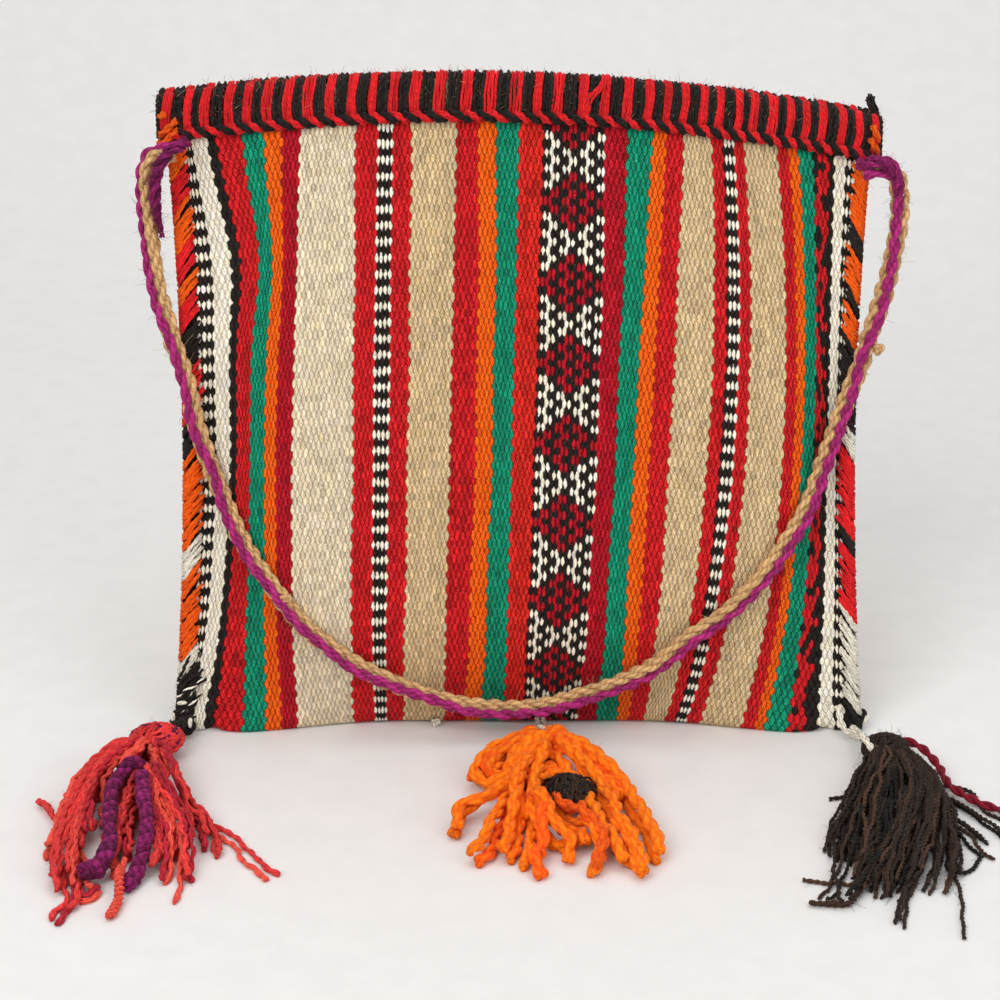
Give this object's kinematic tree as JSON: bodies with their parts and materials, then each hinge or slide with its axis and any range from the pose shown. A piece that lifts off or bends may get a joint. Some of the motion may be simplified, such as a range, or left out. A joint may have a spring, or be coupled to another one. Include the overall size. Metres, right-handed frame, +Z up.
{
  "type": "woven tassel tote bag",
  "caption": "Hand-woven striped wool bag with a whip-stitched mouth, a rope strap that swings over the mouth, and tassels on thread loops along its lower edge.",
  "frame": {"origin": "on the flat base, under the middle of the bag, where the front half of the woven strip rests on the floor", "axes": "+X to the right as seen from the front, +Y to the rear, +Z up; the front face looks towards -Y"},
  "size_m": [0.432, 0.2449, 0.2949],
  "materials": {
    "woven_cloth": "matte wool",
    "red_wool": "matte wool",
    "black_wool": "matte wool",
    "orange_wool": "matte wool",
    "white_cotton": "matte cotton",
    "strap_wool": "matte wool",
    "coral_wool": "matte wool",
    "purple_wool": "matte wool",
    "bright_orange_wool": "matte wool",
    "dark_brown_wool": "matte wool",
    "crimson_wool": "matte wool"
  },
  "bodies": {
    "bag": {"front_cloth": "woven_cloth", "back_cloth": "woven_cloth", "front_rim_stitching": "red_wool", "back_rim_stitching": "red_wool", "front_rim_twist": "black_wool", "back_rim_twist": "black_wool", "left_corner_wrap": "orange_wool", "right_corner_wrap": "orange_wool", "corner_tuft": "black_wool", "left_lacing_01_orange": "orange_wool", "left_lacing_02_red": "red_wool", "left_lacing_03_orange": "orange_wool", "left_lacing_04_red": "red_wool", "left_lacing_05_orange": "orange_wool", "left_lacing_06_red": "red_wool", "left_lacing_07_black": "black_wool", "left_lacing_08_red": "red_wool", "left_lacing_09_black": "black_wool", "left_lacing_10_orange": "orange_wool", "left_lacing_11_white": "white_cotton", "left_lacing_12_orange": "orange_wool", "left_lacing_13_white": "white_cotton", "left_lacing_14_black": "black_wool", "right_lacing_01_orange": "orange_wool", "right_lacing_02_black": "black_wool", "right_lacing_03_orange": "orange_wool", "right_lacing_04_black": "black_wool", "right_lacing_05_orange": "orange_wool", "right_lacing_06_black": "black_wool", "right_lacing_07_white": "white_cotton", "right_lacing_08_red": "red_wool", "right_lacing_09_black": "black_wool", "right_lacing_10_red": "red_wool", "right_lacing_11_white": "white_cotton", "right_lacing_12_black": "black_wool", "bottom_knot": "white_cotton", "left_strap_lashing": "purple_wool", "right_strap_lashing": "purple_wool"},
    "strap": {"strap_cord": "strap_wool"},
    "left_tassel": {"left_tassel_loop": "white_cotton", "left_tassel_head": "coral_wool", "left_tassel_skirt": "coral_wool", "left_tassel_purple_cord": "purple_wool"},
    "middle_tassel": {"middle_tassel_loop": "white_cotton", "middle_tassel_head": "bright_orange_wool", "middle_tassel_skirt": "bright_orange_wool", "middle_tassel_brown_tuft": "dark_brown_wool"},
    "right_tassel": {"right_tassel_loop": "white_cotton", "right_tassel_head": "dark_brown_wool", "right_tassel_skirt": "dark_brown_wool", "right_tassel_crimson_strand": "crimson_wool"}
  },
  "joints": [
    {"name": "strap_swing", "type": "hinge", "parent": "bag", "child": "strap", "pos_m": [-0.1446, 0.01344, 0.2612], "axis": [-0.9996, 0.0061, 0.0283], "range_deg": [0, 170]},
    {"name": "left_tassel_swing", "type": "hinge", "parent": "bag", "child": "left_tassel", "pos_m": [-0.1568, -0.0324, 0.006], "axis": [1, 0, 0], "range_deg": [-45, 90]},
    {"name": "middle_tassel_swing", "type": "hinge", "parent": "bag", "child": "middle_tassel", "pos_m": [0.01, -0.023, 0.0045], "axis": [1, 0, 0], "range_deg": [-10, 90]},
    {"name": "right_tassel_swing", "type": "hinge", "parent": "bag", "child": "right_tassel", "pos_m": [0.1568, -0.0325, 0.006], "axis": [1, 0, 0], "range_deg": [-45, 90]}
  ]
}
